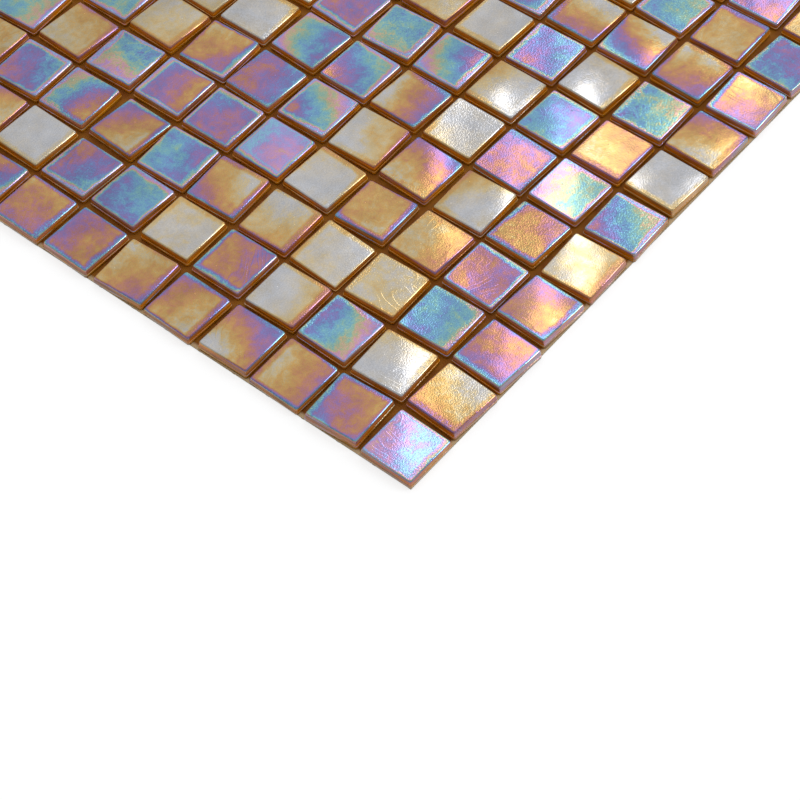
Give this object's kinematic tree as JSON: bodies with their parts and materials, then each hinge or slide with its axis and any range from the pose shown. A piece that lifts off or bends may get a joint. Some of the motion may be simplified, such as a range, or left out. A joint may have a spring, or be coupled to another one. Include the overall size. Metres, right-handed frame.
{
  "type": "glass mosaic tile sheet",
  "caption": "Flat square sheet of small pressed-glass mosaic chips with an iridescent amber finish, hand-laid in a straight grid with open joints on a glued net, for walls and pools.",
  "frame": {"origin": "middle of the sheet, on the underside of the net that it is glued down by", "axes": "+X and +Y along the two edges of the sheet, from the corner seen in the picture; +Z out of the glass faces"},
  "size_m": [0.296, 0.2961, 0.0032],
  "materials": {
    "iridescent_glass": "gloss",
    "glass_fibre_net": "matte",
    "tan_glue": "matte"
  },
  "bodies": {
    "root": {"chip_row_01": "iridescent_glass", "chip_row_02": "iridescent_glass", "chip_row_03": "iridescent_glass", "chip_row_04": "iridescent_glass", "chip_row_05": "iridescent_glass", "chip_row_06": "iridescent_glass", "chip_row_07": "iridescent_glass", "chip_row_08": "iridescent_glass", "chip_row_09": "iridescent_glass", "chip_row_10": "iridescent_glass", "chip_row_11": "iridescent_glass", "chip_row_12": "iridescent_glass", "chip_row_13": "iridescent_glass", "chip_row_14": "iridescent_glass", "chip_row_15": "iridescent_glass", "chip_row_16": "iridescent_glass", "chip_row_17": "iridescent_glass", "chip_row_18": "iridescent_glass", "net_warp": "glass_fibre_net", "net_weft": "glass_fibre_net", "glue_coat": "tan_glue"}
  },
  "joints": []
}
